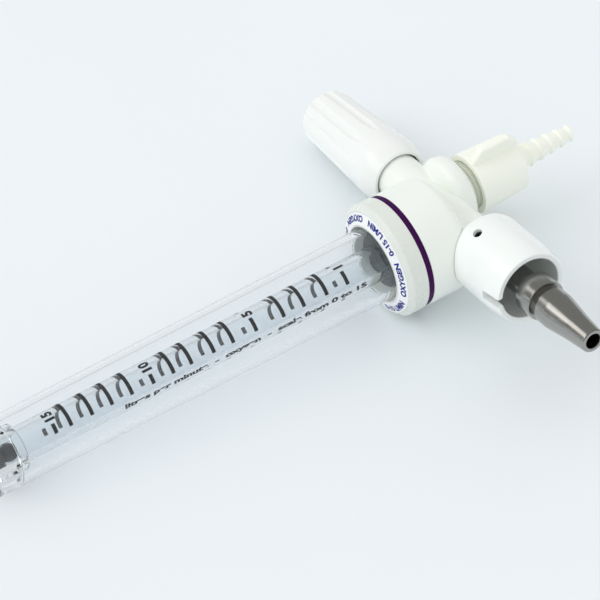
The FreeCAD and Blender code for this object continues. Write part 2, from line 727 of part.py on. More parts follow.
def flute_tools():
    """One long cutter for each flute, laid along the knob's taper, with a pointed run-out."""
    slope = (KNOB_SWELL_R - KNOB_END_R) / (KNOB_SWELL_Y - KNOB_END_Y)
    full_r = KNOB_SWELL_R + slope * (FLUTE_FULL_Y - KNOB_SWELL_Y)
    run = FLUTE_FULL_Y - KNOB_END_Y + OVERCUT
    nose = turned([
        (-run, 0.0),
        (-run, FLUTE_TOOL_R),
        (0.0, FLUTE_TOOL_R),
        (FLUTE_FADE_Y - FLUTE_FULL_Y, FLUTE_TOOL_R - FLUTE_DEPTH),
        (FLUTE_FADE_Y - FLUTE_FULL_Y, 0.0),
    ])
    nose.rotate(Vector(0, 0, 0), Vector(0, 1, 0), math.degrees(math.atan(slope)))
    nose.translate(Vector(full_r + FLUTE_TOOL_R - FLUTE_DEPTH, 0, FLUTE_FULL_Y))
    tools = []
    for index in range(FLUTE_COUNT):
        tool = nose.copy()
        angle = FLUTE_FIRST_ANGLE + FULL_TURN * index / FLUTE_COUNT
        tool.rotate(Vector(0, 0, 0), Vector(0, 0, 1), -angle)
        tools.append(tool)
    return tools


def make_knob():
    """Long tapered knob with a wide mouth, flutes towards its end and a flatted shaft hole."""
    shaft_hole = rod(SPINDLE_END_Y - FIT, KNOB_CAVITY_END_Y, SPINDLE_R + FIT)
    flat = Part.makeBox(SPINDLE_R, 2.0 * SPINDLE_R + OVERCUT, KNOB_CAVITY_END_Y - SPINDLE_END_Y + OVERCUT,
                        Vector(SPINDLE_FLAT + FIT, -SPINDLE_R - FIT, SPINDLE_END_Y - OVERCUT))
    knob = turned(knob_outline).cut(shaft_hole.cut(flat))
    return on_cross_axis(knob.cut(flute_tools()))


def make_knob_screw():
    """Slotted screw that pulls the knob onto the spindle."""
    screw = turned([
        (KNOB_SCREW_SEAT_Y + KNOB_SCREW_LENGTH, 0.0),
        (KNOB_SCREW_SEAT_Y + KNOB_SCREW_LENGTH, KNOB_SCREW_R),
        (KNOB_SCREW_SEAT_Y, KNOB_SCREW_R),
        (KNOB_SCREW_SEAT_Y, KNOB_SCREW_HEAD_R),
        (KNOB_SCREW_SEAT_Y - KNOB_SCREW_HEAD_THICK, KNOB_SCREW_HEAD_R, PROBE_EDGE_BREAK),
        (KNOB_SCREW_SEAT_Y - KNOB_SCREW_HEAD_THICK, 0.0),
    ])
    slot = Part.makeBox(2.0 * KNOB_SCREW_HEAD_R, SCREW_SLOT_WIDTH, SCREW_SLOT_DEPTH,
                        Vector(-KNOB_SCREW_HEAD_R, -SCREW_SLOT_WIDTH / 2.0,
                               KNOB_SCREW_SEAT_Y - KNOB_SCREW_HEAD_THICK))
    return on_cross_axis(screw.cut(slot))


def make_knob_cap():
    """Press-in disc over the screw."""
    outer_y = KNOB_END_Y + KNOB_CAP_SET_IN
    return on_cross_axis(rod(outer_y, outer_y + KNOB_CAP_THICK, KNOB_RECESS_R - FIT))


def make_probe():
    """Turned probe: thread, shoulder, shank, flange, locking groove, nose and taper."""
    return on_cross_axis(turned([
        (SHANK_END_Y, FILTER_R + FIT),
        (SHANK_END_Y, SHANK_R),
        (BARREL_PROBE_Y, SHANK_R),
        (BARREL_PROBE_Y, SHOULDER_R),
        (shoulder_end_y, SHOULDER_R, PROBE_EDGE_BREAK),
        (shoulder_end_y, SHANK_R),
        (PROBE_FLANGE_Y, SHANK_R),
        (PROBE_FLANGE_Y, PROBE_FLANGE_R, PROBE_EDGE_BREAK),
        (probe_groove_y, PROBE_FLANGE_R, PROBE_EDGE_BREAK),
        (probe_groove_y, LOCK_GROOVE_R),
        (nose_y, LOCK_GROOVE_R),
        (nose_y, NOSE_R, PROBE_EDGE_BREAK),
        (nose_end_y, NOSE_R),
        (NOSE_TAPER_Y, NOSE_TAPER_R),
        (TIP_Y, TIP_R, TIP_ROUND),
        (TIP_Y, TIP_BORE_R),
        (TIP_BORE_Y, TIP_BORE_R),
        (TIP_BORE_Y, PROBE_BORE_R),
        (SHANK_END_Y + FILTER_LENGTH, PROBE_BORE_R),
        (SHANK_END_Y + FILTER_LENGTH, FILTER_R + FIT),
    ]))


def make_shroud():
    """Cup round the probe: rounded back, scalloped beside the drum, keyed mouth."""
    shroud = on_cross_axis(turned([
        (SHROUD_BACK_Y, BARREL_R + FIT),
        (SHROUD_BACK_Y, SHROUD_R, SHROUD_BACK_ROUND),
        (SHROUD_TAPER_Y, SHROUD_R, SHROUD_BACK_ROUND),
        (SHROUD_MOUTH_Y, SHROUD_MOUTH_R, SHROUD_LIP_ROUND),
        (SHROUD_MOUTH_Y, SHROUD_BORE_R, SHROUD_LIP_ROUND),
        (SHROUD_FLOOR_Y, SHROUD_BORE_R, PROBE_EDGE_BREAK),
        (SHROUD_FLOOR_Y, BARREL_R + FIT),
    ]))
    key_slot = Part.makeBox(SHROUD_R, KEY_SLOT_DEPTH + OVERCUT, KEY_SLOT_WIDTH,
                            Vector(0, SHROUD_MOUTH_Y - KEY_SLOT_DEPTH, -KEY_SLOT_WIDTH / 2.0))
    screw_hole = on_set_screw_axis(rod(0.0, SHROUD_R + OVERCUT, SET_SCREW_R + 2.0 * FIT))
    return shroud.cut([drum_with_barrel(BODY_GAP, FIT), key_slot, screw_hole])


def make_set_screw():
    """Headless screw with a hexagon socket."""
    screw = turned([
        (SET_SCREW_TIP_R, 0.0),
        (SET_SCREW_TIP_R, SET_SCREW_R, PROBE_EDGE_BREAK),
        (set_screw_top_r, SET_SCREW_R),
        (set_screw_top_r, 0.0),
    ])
    socket = hex_rod(set_screw_top_r - SET_SCREW_SOCKET, set_screw_top_r, SET_SCREW_HEX)
    return on_set_screw_axis(screw.cut(socket))


def make_wing_nut():
    """Nut with a plain cylinder, two full-length wings and an end wall that holds the nipple."""
    barrel = turned([
        (NUT_MOUTH_X, nut_bore_r + NUT_CHAMFER),
        (NUT_MOUTH_X, NUT_MOUTH_R),
        (NUT_END_X, NUT_END_R, NUT_END_ROUND),
        (NUT_END_X, NIPPLE_NECK_R + RUNNING_FIT),
        (nut_wall_x, NIPPLE_NECK_R + RUNNING_FIT),
        (nut_wall_x, nut_bore_r),
        (NUT_MOUTH_X - NUT_CHAMFER, nut_bore_r),
    ])
    wing_root_r = nut_bore_r + NUT_CHAMFER
    wing_face = outline_face([
        (NUT_MOUTH_X, wing_root_r),
        (NUT_MOUTH_X, NUT_MOUTH_R),
        (WING_FRONT_X, WING_R, WING_ROUND),
        (WING_BACK_X, WING_R, WING_ROUND),
        (NUT_END_X, WING_BACK_R, WING_ROUND),
        (NUT_END_X, wing_root_r),
    ])
    wing_face.translate(Vector(0, -WING_THICK / 2.0, 0))
    wing = wing_face.extrude(Vector(0, WING_THICK, 0))
    side_edges = [edge for edge in wing.Edges if abs(edge.CenterOfMass.y) > WING_THICK / 4.0]
    wing = wing.makeFillet(WING_EDGE_ROUND, side_edges)
    wings = []
    for angle in (WING_ANGLE, WING_ANGLE + FULL_TURN / 2.0):
        turned_wing = wing.copy()
        turned_wing.rotate(Vector(0, 0, 0), Vector(0, 0, 1), angle)
        wings.append(turned_wing)
    return on_outlet_axis(barrel.fuse(wings).removeSplitter())


def make_nipple():
    """Nipple: flange inside the nut, neck through its wall, tapering barbs and a plain bore."""
    corners = [
        (nipple_face_x, NIPPLE_BORE_R),
        (nipple_face_x, NIPPLE_FLANGE_R),
        (nipple_face_x - NIPPLE_FLANGE_THICK, NIPPLE_FLANGE_R),
        (nipple_face_x - NIPPLE_FLANGE_THICK, NIPPLE_NECK_R),
    ]
    neck_r = NIPPLE_NECK_R
    corners.append((NUT_END_X, neck_r))
    shrink = (BARB_FIRST_R - BARB_LAST_R) / (BARB_COUNT - 1)
    for index in range(BARB_COUNT):
        crest_x = BARB_FIRST_X - BARB_PITCH * index
        crest_r = BARB_FIRST_R - shrink * index
        corners.append((crest_x + BARB_BACK, crest_r - BARB_DEPTH))
        corners.append((crest_x, crest_r))
    corners.append((NIPPLE_TIP_X, NIPPLE_TIP_R))
    corners.append((NIPPLE_TIP_X, NIPPLE_BORE_R))
    return on_outlet_axis(turned(corners))


def make_all(up):
    """Every piece in the working frame, by its name."""
    bonnet_groove_y = BONNET_SEAL_Y - SEAL_SECTION
    return {
        "body": make_body(),
        "collar": make_collar(),
        "label_ring": on_tube_axis(label_washer()),
        "colour_ring": make_colour_ring(),
        "outer_tube": make_outer_tube(),
        "outer_tube_seal": on_tube_axis(sealing_ring(DRUM_FLOOR_X - SEAL_SECTION, SEAL_SECTION,
                                                     TUBE_SEAL_R, TUBE_SEAL_WIDTH)),
        "flow_tube": make_flow_tube(),
        "flow_tube_seal": on_tube_axis(sealing_ring(FLOW_SEAL_X, FLOW_SEAL_WIDTH, FLOW_TUBE_R,
                                                    FLOW_SEAL_DEPTH)),
        "float_ball": make_ball(up),
        "upper_ball_stop": make_stop(UPPER_STOP_X, end_chamber_x, flow_bore_r(UPPER_STOP_X) - FIT),
        "lower_ball_stop": make_stop(FLOW_TUBE_FOOT_X, FLOW_TUBE_FOOT_X + LOWER_STOP_LENGTH,
                                     FLOW_BORE_FOOT_R - FIT),
        "tube_seat_nut": make_seat_nut(),
        "valve_bonnet": make_bonnet(),
        "bonnet_seal": on_cross_axis(sealing_ring(bonnet_groove_y, SEAL_SECTION,
                                                  BONNET_R - SEAL_SECTION, SEAL_SECTION)),
        "valve_needle": make_needle(),
        "valve_spindle": make_spindle(),
        "spindle_seal": on_cross_axis(sealing_ring(BONNET_END_Y, spindle_collar_y - BONNET_END_Y - FIT,
                                                   SPINDLE_R + RUNNING_FIT,
                                                   PACKING_CHAMBER_R - SPINDLE_R - 2.0 * RUNNING_FIT)),
        "gland_nut": make_gland_nut(),
        "control_knob": make_knob(),
        "knob_screw": make_knob_screw(),
        "knob_cap": make_knob_cap(),
        "probe": make_probe(),
        "probe_seal": on_cross_axis(sealing_ring(BARREL_PROBE_Y - SEAL_SECTION, SEAL_SECTION,
                                                 PROBE_SEAL_R, PROBE_SEAL_WIDTH)),
        "inlet_filter": on_cross_axis(rod(SHANK_END_Y, SHANK_END_Y + FILTER_LENGTH, FILTER_R)),
        "shroud": make_shroud(),
        "shroud_screw": make_set_screw(),
        "wing_nut": make_wing_nut(),
        "hose_nipple": make_nipple(),
        "nipple_seal": on_outlet_axis(rod(nipple_face_x, SPIGOT_END_X, NIPPLE_FLANGE_R).cut(
            rod(nipple_face_x, SPIGOT_END_X, NIPPLE_SEAL_BORE_R))),
    }


def laying_down(pieces, up, height):
    """Placement that turns the resting direction upright and centres the box over the origin."""
    along = (Vector(1, 0, 0) - up * up.x).normalize()
    across = up.cross(along)
    turn = Placement(Matrix(along.x, along.y, along.z, 0,
                            across.x, across.y, across.z, 0,
                            up.x, up.y, up.z, 0,
                            0, 0, 0, 1))
    box = placed(Part.makeCompound(list(pieces.values())), turn).optimalBoundingBox(False)
    return Placement(Vector(-box.Center.x, -box.Center.y, height), Rotation()).multiply(turn)


rest_up, rest_height = resting_attitude()
all_pieces = make_all(rest_up)
lay_down = laying_down(all_pieces, rest_up, rest_height)
for name, piece in all_pieces.items():
    placed(piece, lay_down).exportStep("parts/" + name + ".step")
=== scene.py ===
# Oxygen flowmeter lying on a pale table, resting on its collar, its tube's closed end and its knob.
# Pieces made here are modelled in millimetres in the meter's own axes: X along the gauge tube towards
# its closed end, Y along the cross barrel from the knob to the wall probe, Z square to both.
import json
import math

import bmesh
import bpy
from mathutils import Matrix, Vector


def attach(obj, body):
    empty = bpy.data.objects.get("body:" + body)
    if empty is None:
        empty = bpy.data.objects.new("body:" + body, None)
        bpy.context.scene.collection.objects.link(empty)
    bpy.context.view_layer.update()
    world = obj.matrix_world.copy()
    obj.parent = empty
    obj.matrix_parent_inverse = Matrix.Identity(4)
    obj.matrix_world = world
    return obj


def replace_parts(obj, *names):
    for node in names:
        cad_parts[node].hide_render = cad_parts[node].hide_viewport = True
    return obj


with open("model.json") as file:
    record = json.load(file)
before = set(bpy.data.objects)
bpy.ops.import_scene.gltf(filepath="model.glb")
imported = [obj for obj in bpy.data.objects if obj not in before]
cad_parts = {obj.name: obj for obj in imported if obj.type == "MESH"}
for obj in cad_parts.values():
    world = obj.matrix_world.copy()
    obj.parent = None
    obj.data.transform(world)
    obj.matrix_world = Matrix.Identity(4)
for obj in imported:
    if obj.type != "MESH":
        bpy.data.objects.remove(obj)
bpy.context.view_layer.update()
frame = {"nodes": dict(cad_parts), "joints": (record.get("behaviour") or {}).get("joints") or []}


# Where the meter lies. Its axes are read from the joints: the nipple is drawn off along the tube's
# axis and the knob turns on the barrel's axis.
joints = {joint["name"]: joint for joint in frame["joints"]}
knob_middle_y = -55.0
tube_way = -Vector(joints["nipple_release"]["axis"]).normalized()
barrel_way = -Vector(joints["knob_turn"]["axis"]).normalized()
upper_way = tube_way.cross(barrel_way)
meter_middle = Vector(joints["knob_turn"]["pos_m"]) - barrel_way * knob_middle_y / 1000.0
laid_down = Matrix.Translation(meter_middle) @ Matrix((tube_way, barrel_way, upper_way)).transposed().to_4x4()
laid_down = laid_down @ Matrix.Scale(0.001, 4)


# The table is a pale matt laminate with a faint mottle. It runs on past every view.
def table_top():
    bm = bmesh.new()
    bmesh.ops.create_grid(bm, x_segments=8, y_segments=8, size=30.0)
    mesh = bpy.data.meshes.new("table")
    bm.to_mesh(mesh)
    bm.free()
    table = bpy.data.objects.new("table", mesh)
    bpy.context.scene.collection.objects.link(table)

    laminate = bpy.data.materials.new("pale_laminate")
    laminate.use_nodes = True
    nodes, links = laminate.node_tree.nodes, laminate.node_tree.links
    shader = nodes["Principled BSDF"]
    shader.inputs["Roughness"].default_value = 0.62
    shader.inputs["Specular IOR Level"].default_value = 0.25
    coords = nodes.new("ShaderNodeTexCoord")
    mottle = nodes.new("ShaderNodeTexNoise")
    mottle.inputs["Scale"].default_value = 6.0
    mottle.inputs["Detail"].default_value = 3.0
    tint = nodes.new("ShaderNodeValToRGB")
    tint.color_ramp.elements[0].position = 0.3
    tint.color_ramp.elements[0].color = (0.82, 0.868, 0.893, 1.0)
    tint.color_ramp.elements[1].position = 0.7
    tint.color_ramp.elements[1].color = (0.835, 0.88, 0.903, 1.0)
    links.new(coords.outputs["Object"], mottle.inputs["Vector"])
    links.new(mottle.outputs["Fac"], tint.inputs["Fac"])
    links.new(tint.outputs["Color"], shader.inputs["Base Color"])
    mesh.materials.append(laminate)


table_top()


# Studio light: a white tent lit evenly from all round, a broad soft lamp at the left of the camera and a
# narrower one behind it. Polished surfaces mirror the dim studio outside the tent, and clear ones show
# the backdrop with a little of that studio.
def studio_light():
    backdrop_through_clear = 0.65
    world = bpy.data.worlds.new("pale_room")
    bpy.context.scene.world = world
    world.use_nodes = True
    nodes, links = world.node_tree.nodes, world.node_tree.links
    nodes.clear()
    coords = nodes.new("ShaderNodeTexCoord")
    parts = nodes.new("ShaderNodeSeparateXYZ")
    height = nodes.new("ShaderNodeValToRGB")
    walls = ((0.0, (0.855, 0.86, 0.865)), (0.3, (0.893, 0.898, 0.903)), (1.0, (0.922, 0.927, 0.937)))
    while len(height.color_ramp.elements) < len(walls):
        height.color_ramp.elements.new(0.5)
    for stop, (place, colour) in zip(height.color_ramp.elements, walls):
        stop.position = place
        stop.color = (*colour, 1.0)
    room = nodes.new("ShaderNodeBackground")
    studio = nodes.new("ShaderNodeBackground")
    studio.inputs["Color"].default_value = (0.36, 0.365, 0.36, 1.0)
    backdrop = nodes.new("ShaderNodeBackground")
    backdrop.inputs["Color"].default_value = (0.83, 0.885, 0.915, 1.0)
    path = nodes.new("ShaderNodeLightPath")
    through = nodes.new("ShaderNodeMath")
    through.operation = "MULTIPLY"
    through.inputs[1].default_value = backdrop_through_clear
    seen = nodes.new("ShaderNodeMath")
    seen.operation = "MAXIMUM"
    mirrored = nodes.new("ShaderNodeMixShader")
    mix = nodes.new("ShaderNodeMixShader")
    output = nodes.new("ShaderNodeOutputWorld")
    links.new(coords.outputs["Generated"], parts.inputs["Vector"])
    links.new(parts.outputs["Z"], height.inputs["Fac"])
    links.new(height.outputs["Color"], room.inputs["Color"])
    links.new(path.outputs["Is Camera Ray"], seen.inputs[0])
    links.new(path.outputs["Is Transmission Ray"], through.inputs[0])
    links.new(through.outputs["Value"], seen.inputs[1])
    links.new(seen.outputs["Value"], mix.inputs["Fac"])
    links.new(path.outputs["Is Glossy Ray"], mirrored.inputs["Fac"])
    links.new(room.outputs["Background"], mirrored.inputs[1])
    links.new(studio.outputs["Background"], mirrored.inputs[2])
    links.new(mirrored.outputs["Shader"], mix.inputs[1])
    links.new(backdrop.outputs["Background"], mix.inputs[2])
    links.new(mix.outputs["Shader"], output.inputs["Surface"])

    lamps = (("broad_lamp", 0.5, 36.0, (0.80, -0.20, 0.57)), ("narrow_lamp", 0.24, 26.0, (0.62, -0.62, 0.58)))
    for name, energy, spread, way in lamps:
        lamp = bpy.data.lights.new(name, "SUN")
        lamp.energy = energy
        lamp.angle = math.radians(spread)
        lamp.color = (1.0, 0.985, 0.96)
        stand = bpy.data.objects.new(name, lamp)
        bpy.context.scene.collection.objects.link(stand)
        stand.rotation_euler = Vector(way).to_track_quat("Z", "Y").to_euler()
    bpy.context.scene.cycles.caustics_refractive = False
    bpy.context.scene.cycles.caustics_reflective = False


studio_light()


# The camera looks down on the meter from over the wall probe, with a long lens.
def place_camera():
    lens = bpy.data.cameras.new("camera")
    lens.lens = 288.3
    lens.sensor_width = 36.0
    lens.clip_start = 0.05
    lens.clip_end = 100.0
    camera = bpy.data.objects.new("camera", lens)
    bpy.context.scene.collection.objects.link(camera)
    right = Vector((-0.8311, 0.5447, -0.1123))
    back = Vector((0.3599, 0.6806, 0.6382))
    up = back.cross(right)
    stand = Matrix((right, up, back)).transposed().to_4x4()
    stand.translation = Vector((618.5, 1055.4, 990.3))
    world = laid_down @ stand
    turn = world.to_3x3()
    turn.normalize()
    camera.matrix_world = Matrix.Translation(world.translation) @ turn.to_4x4()
    bpy.context.scene.camera = camera
    bpy.context.scene.view_settings.view_transform = "Standard"


place_camera()


# The moulded body is off-white nylon with a slightly green cast: one piece of drum, cross barrel and
# outlet boss. Its skin has the fine grain of the mould.
def moulded(name, light, dark, roughness, grain):
    """Glossy moulded plastic: a cloudy tint, a finely grained skin and a soft sheen."""
    plastic = bpy.data.materials.new(name)
    plastic.use_nodes = True
    nodes, links = plastic.node_tree.nodes, plastic.node_tree.links
    shader = nodes["Principled BSDF"]
    shader.inputs["IOR"].default_value = 1.5
    shader.inputs["Subsurface Weight"].default_value = 0.12
    shader.inputs["Subsurface Radius"].default_value = (1.0, 0.9, 0.75)
    shader.inputs["Subsurface Scale"].default_value = 0.0015
    coords = nodes.new("ShaderNodeTexCoord")

    cloud = nodes.new("ShaderNodeTexNoise")
    cloud.inputs["Scale"].default_value = 30.0
    cloud.inputs["Detail"].default_value = 4.0
    tint = nodes.new("ShaderNodeValToRGB")
    tint.color_ramp.elements[0].position = 0.32
    tint.color_ramp.elements[0].color = (*dark, 1.0)
    tint.color_ramp.elements[1].position = 0.68
    tint.color_ramp.elements[1].color = (*light, 1.0)
    links.new(coords.outputs["Object"], cloud.inputs["Vector"])
    links.new(cloud.outputs["Fac"], tint.inputs["Fac"])
    links.new(tint.outputs["Color"], shader.inputs["Base Color"])

    smears = nodes.new("ShaderNodeTexNoise")
    smears.inputs["Scale"].default_value = 160.0
    smears.inputs["Detail"].default_value = 3.0
    gloss = nodes.new("ShaderNodeMapRange")
    gloss.inputs["To Min"].default_value = roughness - 0.02
    gloss.inputs["To Max"].default_value = roughness + 0.03
    links.new(coords.outputs["Object"], smears.inputs["Vector"])
    links.new(smears.outputs["Fac"], gloss.inputs["Value"])
    links.new(gloss.outputs["Result"], shader.inputs["Roughness"])

    skin = nodes.new("ShaderNodeTexNoise")
    skin.inputs["Scale"].default_value = 1800.0
    skin.inputs["Detail"].default_value = 2.0
    bump = nodes.new("ShaderNodeBump")
    bump.inputs["Strength"].default_value = grain
    bump.inputs["Distance"].default_value = 0.00004
    links.new(coords.outputs["Object"], skin.inputs["Vector"])
    links.new(skin.outputs["Fac"], bump.inputs["Height"])
    links.new(bump.outputs["Normal"], shader.inputs["Normal"])
    return plastic


def dress(node, material):
    """Gives a node of the model its finish."""
    materials = frame["nodes"][node].data.materials
    materials.clear()
    materials.append(material)


body_white = moulded("body_white", (0.875, 0.905, 0.855), (0.865, 0.895, 0.845), 0.3, 0.25)
dress("body", body_white)


# The collar is a turned ring nut of the same off-white plastic, given a darker colour as painted shade. A
# bright white label lies in a recess in its coned face, and a thin purple ring is clamped behind it.
def rounded(corners):
    """Outline through corners of (place along the axis, radius, rounding), with an arc at each rounding."""
    points = []
    for index, corner in enumerate(corners):
        here = Vector(corner[:2])
        if len(corner) == 2:
            points.append(here)
            continue
        before = (Vector(corners[index - 1][:2]) - here).normalized()
        after = (Vector(corners[(index + 1) % len(corners)][:2]) - here).normalized()
        half = before.angle(after) / 2.0
        reach = corner[2] / math.tan(half)
        middle = here + (before + after).normalized() * corner[2] / math.sin(half)
        sweep = math.pi - 2.0 * half
        if before.cross(after) > 0.0:
            sweep = -sweep
        steps = max(3, round(abs(sweep) / math.radians(9.0)))
        points.append(here + before * (reach + 0.12 * corner[2]))
        for step in range(steps + 1):
            turn = Matrix.Rotation(sweep * step / steps, 2)
            points.append(middle + turn @ (here + before * reach - middle))
        points.append(here + after * (reach + 0.12 * corner[2]))
    return points


def spun(corners, closed=True):
    """Surface that an outline of corners makes when it is spun once round the X axis."""
    bm = bmesh.new()
    verts = [bm.verts.new((point.x, point.y, 0.0)) for point in rounded(corners)]
    edges = [bm.edges.new(pair) for pair in zip(verts, verts[1:])]
    if closed:
        edges.append(bm.edges.new((verts[-1], verts[0])))
    bmesh.ops.spin(bm, geom=verts + edges, cent=(0.0, 0.0, 0.0), axis=(1.0, 0.0, 0.0),
                   angle=2.0 * math.pi, steps=144, use_merge=True)
    bmesh.ops.remove_doubles(bm, verts=bm.verts, dist=1e-4)
    bmesh.ops.recalc_face_normals(bm, faces=bm.faces)
    return bm


def laid_piece(name, bm, material, body, crease=22.0):
    """Turns a piece modelled in the meter's own axes into an object in its place."""
    bm.transform(laid_down)
    mesh = bpy.data.meshes.new(name)
    bm.to_mesh(mesh)
    bm.free()
    mesh.shade_smooth()
    mesh.set_sharp_from_angle(angle=math.radians(crease))
    mesh.materials.append(material)
    piece = bpy.data.objects.new(name, mesh)
    bpy.context.scene.collection.objects.link(piece)
    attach(piece, body)
    return piece


def ring_nut():
    skirt_r, skirt_end_x, back_x, shoulder_x = 17.0, 13.4, 23.35, 29.0
    hole_r, rim_r = 13.46, 20.0
    inner, outer = Vector((32.0, 13.8)), Vector((30.5, 18.3))
    along = (outer - inner).normalized()
    inwards = Vector((-along.y, along.x)) * 0.3
    label_foot, label_edge = inner + along * 0.26, outer - along * 0.26
    recess_foot, recess_edge = inner + along * 0.2, outer - along * 0.2
    # Painted shade: the body's off-white plastic, coloured darker for the collar.
    collar_white = moulded("collar_white", (0.745, 0.78, 0.73), (0.735, 0.77, 0.72), 0.27, 0.15)
    collar = spun([
        (skirt_end_x, hole_r),
        (inner.x, hole_r, 0.15),
        (*inner, 0.1),
        tuple(recess_foot),
        tuple(recess_foot + inwards),
        tuple(recess_edge + inwards),
        tuple(recess_edge),
        (*outer, 0.6),
        (shoulder_x, rim_r, 1.2),
        (back_x, rim_r, 0.4),
        (back_x, skirt_r),
        (skirt_end_x, skirt_r),
    ])
    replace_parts(laid_piece("ring_nut", collar, collar_white, "housing"), "collar")
    label_white = moulded("label_white", (0.95, 0.96, 0.975), (0.94, 0.95, 0.965), 0.4, 0.1)
    label = spun([
        (*label_foot, 0.06),
        (*label_edge, 0.06),
        tuple(label_edge + inwards * 0.95),
        tuple(label_foot + inwards * 0.95),
    ])
    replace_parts(laid_piece("label", label, label_white, "housing"), "label_ring")
    ring_purple = moulded("ring_purple", (0.05, 0.003, 0.075), (0.04, 0.002, 0.06), 0.5, 0.3)
    ring_purple.node_tree.nodes["Principled BSDF"].inputs["Specular IOR Level"].default_value = 0.1
    front_x, ring_r = 21.3, 19.7
    band = spun([
        (front_x, skirt_r + 0.05),
        (front_x, ring_r, 0.2),
        (back_x, ring_r, 0.2),
        (back_x, skirt_r + 0.05),
    ])
    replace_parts(laid_piece("purple_band", band, ring_purple, "housing"), "colour_ring")


ring_nut()


# The label's print is dark blue ink: plain words in capitals that run on round the cone, with their
# tops inwards.
def ink(name, colour):
    """Printing ink with slightly uneven cover."""
    paint = bpy.data.materials.new(name)
    paint.use_nodes = True
    nodes, links = paint.node_tree.nodes, paint.node_tree.links
    shader = nodes["Principled BSDF"]
    shader.inputs["Roughness"].default_value = 0.7
    shader.inputs["Specular IOR Level"].default_value = 0.15
    coords = nodes.new("ShaderNodeTexCoord")
    cover = nodes.new("ShaderNodeTexNoise")
    cover.inputs["Scale"].default_value = 2500.0
    tint = nodes.new("ShaderNodeValToRGB")
    tint.color_ramp.elements[0].position = 0.35
    tint.color_ramp.elements[0].color = (*[1.5 * channel for channel in colour], 1.0)
    tint.color_ramp.elements[1].position = 0.6
    tint.color_ramp.elements[1].color = (*colour, 1.0)
    links.new(coords.outputs["Object"], cover.inputs["Vector"])
    links.new(cover.outputs["Fac"], tint.inputs["Fac"])
    links.new(tint.outputs["Color"], shader.inputs["Base Color"])
    return paint


def lettering(words, size, weight):
    """Flat mesh of generic words in the XY plane, thin, cut across in narrow strips so that it bends."""
    curve = bpy.data.curves.new(words, "FONT")
    curve.body = words
    curve.size = size
    curve.align_x = "CENTER"
    curve.offset = weight * size
    curve.resolution_u = 6
    text = bpy.data.objects.new(words, curve)
    bpy.context.scene.collection.objects.link(text)
    bpy.context.view_layer.update()
    flat = bpy.data.meshes.new_from_object(text)
    bm = bmesh.new()
    bm.from_mesh(flat)
    bpy.data.objects.remove(text)
    bpy.data.meshes.remove(flat)
    bpy.data.curves.remove(curve)
    reach = max(abs(vert.co.x) for vert in bm.verts)
    strip = 0.35
    for index in range(int(-reach / strip) - 1, int(reach / strip) + 2):
        bmesh.ops.bisect_plane(bm, geom=bm.verts[:] + bm.edges[:] + bm.faces[:], dist=1e-5,
                               plane_co=(index * strip, 0.0, 0.0), plane_no=(1.0, 0.0, 0.0))
    return bm


def label_print():
    words = "OXYGEN   0-15 L/MIN"
    foot_r, foot_x = 17.2, 30.88
    cone_length, cone_width = 32.0 - 30.5, 18.3 - 13.8
    slope = cone_length / cone_width
    lift = 0.03
    repeats, first_middle, share = 3, 40.0, 0.9
    whole = bmesh.new()
    for repeat in range(repeats):
        bm = lettering(words, 2.9, 0.045)
        half = max(vert.co.x for vert in bm.verts)
        fill = share * math.pi / repeats / half
        for vert in bm.verts:
            angle = math.radians(first_middle + 360.0 * repeat / repeats) + vert.co.x * fill
            inwards = vert.co.y * math.cos(math.atan(slope))
            radius = foot_r - inwards
            vert.co = Vector((foot_x + inwards * slope + lift,
                              radius * math.cos(angle), radius * math.sin(angle)))
        turned = bpy.data.meshes.new("words")
        bm.to_mesh(turned)
        bm.free()
        whole.from_mesh(turned)
        bpy.data.meshes.remove(turned)
    laid_piece("label_print", whole, ink("label_blue", (0.02, 0.03, 0.21)), "housing")


label_print()


# The gauge tube is clear moulded plastic: a flange held by the collar, a slightly tapered bore and a
# thick closed end with a slotted ring inside, which centres the metering tube.
def clear(name, colour, roughness, shade):
    """Clear plastic that lets the lamp's and the room's light through to what lies behind."""
    plastic = bpy.data.materials.new(name)
    plastic.use_nodes = True
    nodes, links = plastic.node_tree.nodes, plastic.node_tree.links
    shader = nodes["Principled BSDF"]
    shader.inputs["Base Color"].default_value = (*colour, 1.0)
    shader.inputs["Transmission Weight"].default_value = 1.0
    shader.inputs["IOR"].default_value = 1.49
    shader.inputs["Specular IOR Level"].default_value = 0.25
    shader.inputs["Roughness"].default_value = roughness
    window = nodes.new("ShaderNodeBsdfTransparent")
    window.inputs["Color"].default_value = (*shade, 1.0)
    path = nodes.new("ShaderNodeLightPath")
    passing = nodes.new("ShaderNodeMath")
    passing.operation = "MAXIMUM"
    mix = nodes.new("ShaderNodeMixShader")
    output = nodes["Material Output"]
    links.new(path.outputs["Is Shadow Ray"], passing.inputs[0])
    links.new(path.outputs["Is Diffuse Ray"], passing.inputs[1])
    links.new(passing.outputs["Value"], mix.inputs["Fac"])
    links.new(shader.outputs["BSDF"], mix.inputs[1])
    links.new(window.outputs["BSDF"], mix.inputs[2])
    links.new(mix.outputs["Shader"], output.inputs["Surface"])
    return plastic


